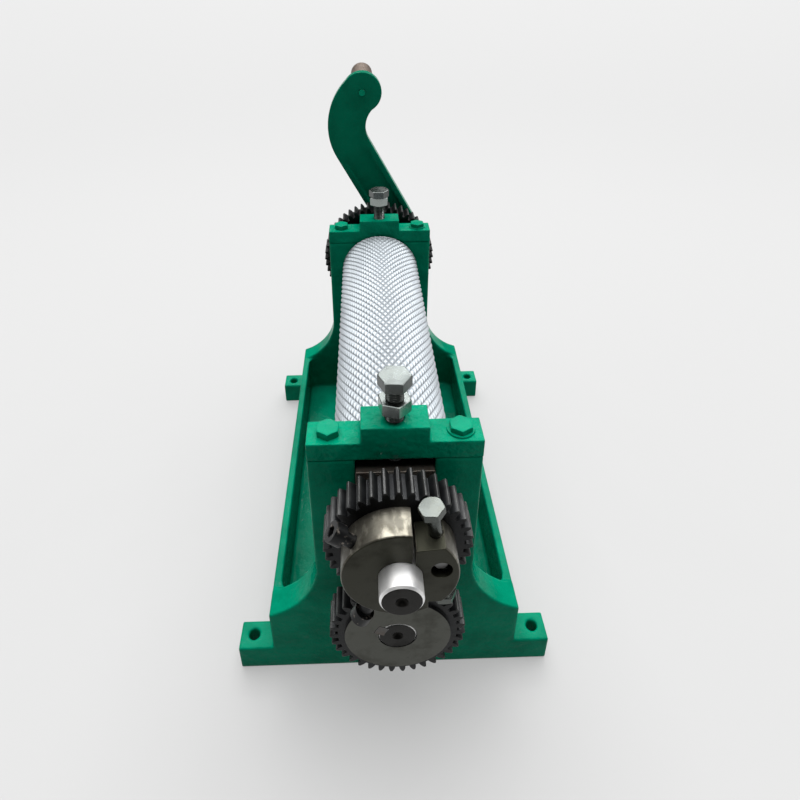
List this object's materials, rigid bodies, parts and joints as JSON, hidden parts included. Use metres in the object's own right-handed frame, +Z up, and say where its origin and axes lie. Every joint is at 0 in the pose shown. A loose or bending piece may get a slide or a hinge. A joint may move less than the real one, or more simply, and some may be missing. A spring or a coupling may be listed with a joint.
{
  "type": "roller mill",
  "caption": "Hand-cranked mill with embossed aluminium rollers in a cast green bench frame, geared together, with an adjustable nip and timing hub.",
  "frame": {"origin": "centre of the four foot holes, on the bench", "axes": "+X to the right seen from the timing gears, +Y along the rollers towards the crank, +Z up"},
  "size_m": [0.248, 0.602, 0.4],
  "materials": {
    "frame_enamel": "glossy green enamel brushed and sprayed over cast iron",
    "cap_enamel": "glossy green enamel over cast iron and over the cap bolts",
    "crank_enamel": "glossy green enamel over cast iron",
    "block_steel": "milled and oiled",
    "bush_bronze": "turned bronze",
    "roller_aluminium": "embossed with small six-sided cells, bright",
    "shaft_steel": "turned bright",
    "gear_black_oxide": "black oxide, oiled, worn on the teeth",
    "hub_turned_steel": "turned, slightly browned",
    "black_fasteners": "black oxide",
    "zinc_plate": "bright zinc plate",
    "grip_steel": "dark, browned by oil"
  },
  "bodies": {
    "frame": {"frame": "frame_enamel", "bearing_cap_near": "cap_enamel", "bearing_cap_far": "cap_enamel", "cap_bolt_near_left": "cap_enamel", "cap_bolt_near_right": "cap_enamel", "cap_bolt_far_left": "cap_enamel", "cap_bolt_far_right": "cap_enamel", "lower_block_near": "block_steel", "lower_block_far": "block_steel", "lower_bush_near": "bush_bronze", "lower_bush_far": "bush_bronze"},
    "upper_carriage": {"upper_block_near": "block_steel", "upper_block_far": "block_steel", "upper_bush_near": "bush_bronze", "upper_bush_far": "bush_bronze"},
    "upper_roller_assembly": {"upper_roller": "roller_aluminium", "upper_shaft": "shaft_steel", "upper_timing_gear": "gear_black_oxide", "timing_hub": "hub_turned_steel", "hub_key": "shaft_steel", "timing_stud": "black_fasteners", "timing_bolt_upper": "zinc_plate", "timing_bolt_lower": "zinc_plate", "hub_clamp_screw_upper": "black_fasteners", "hub_clamp_screw_lower": "black_fasteners", "drive_gear": "gear_black_oxide", "drive_gear_key": "shaft_steel", "drive_gear_ring": "black_fasteners"},
    "lower_roller_assembly": {"lower_roller": "roller_aluminium", "lower_shaft": "shaft_steel", "lower_timing_gear": "gear_black_oxide", "lower_gear_key": "shaft_steel", "crank_washer": "zinc_plate", "crank_bolt": "zinc_plate"},
    "crank": {"crank_pinion": "gear_black_oxide", "crank_bush": "bush_bronze", "crank_key": "shaft_steel", "crank_arm": "crank_enamel", "grip_spindle": "shaft_steel", "grip_washer": "zinc_plate"},
    "grip": {"grip_sleeve": "grip_steel"},
    "near_pressure_screw": {"pressure_screw_near": "zinc_plate", "lock_nut_near": "zinc_plate"},
    "far_pressure_screw": {"pressure_screw_far": "zinc_plate", "lock_nut_far": "zinc_plate"}
  },
  "joints": [
    {"name": "roller_lift", "type": "slide", "parent": "frame", "child": "upper_carriage", "axis": [0, 0, 1], "range_m": [0, 0.003]},
    {"name": "upper_roller_spin", "type": "hinge", "parent": "upper_carriage", "child": "upper_roller_assembly", "pos_m": [0, 0, 0.1905], "axis": [0, 1, 0], "continuous": true},
    {"name": "lower_roller_spin", "type": "hinge", "parent": "frame", "child": "lower_roller_assembly", "pos_m": [0, 0, 0.103], "axis": [0, 1, 0], "continuous": true},
    {"name": "crank_spin", "type": "hinge", "parent": "frame", "child": "crank", "pos_m": [0, 0, 0.103], "axis": [0, 1, 0], "continuous": true},
    {"name": "grip_spin", "type": "hinge", "parent": "crank", "child": "grip", "pos_m": [-0.0165, 0.237, 0.378], "axis": [0, 1, 0], "continuous": true},
    {"name": "near_screw_turn", "type": "hinge", "parent": "upper_carriage", "child": "near_pressure_screw", "pos_m": [0, -0.166, 0.25], "axis": [0, 0, 1], "range_deg": [0, 640]},
    {"name": "far_screw_turn", "type": "hinge", "parent": "upper_carriage", "child": "far_pressure_screw", "pos_m": [0, 0.166, 0.25], "axis": [0, 0, 1], "range_deg": [0, 640]}
  ],
  "couplings": [
    {"joint": "lower_roller_spin", "follows": "upper_roller_spin", "ratio": -1},
    {"joint": "crank_spin", "follows": "upper_roller_spin", "ratio": -2.5},
    {"joint": "near_screw_turn", "follows": "roller_lift", "rad_per_m": 3590.4},
    {"joint": "far_screw_turn", "follows": "roller_lift", "rad_per_m": 3590.4}
  ]
}
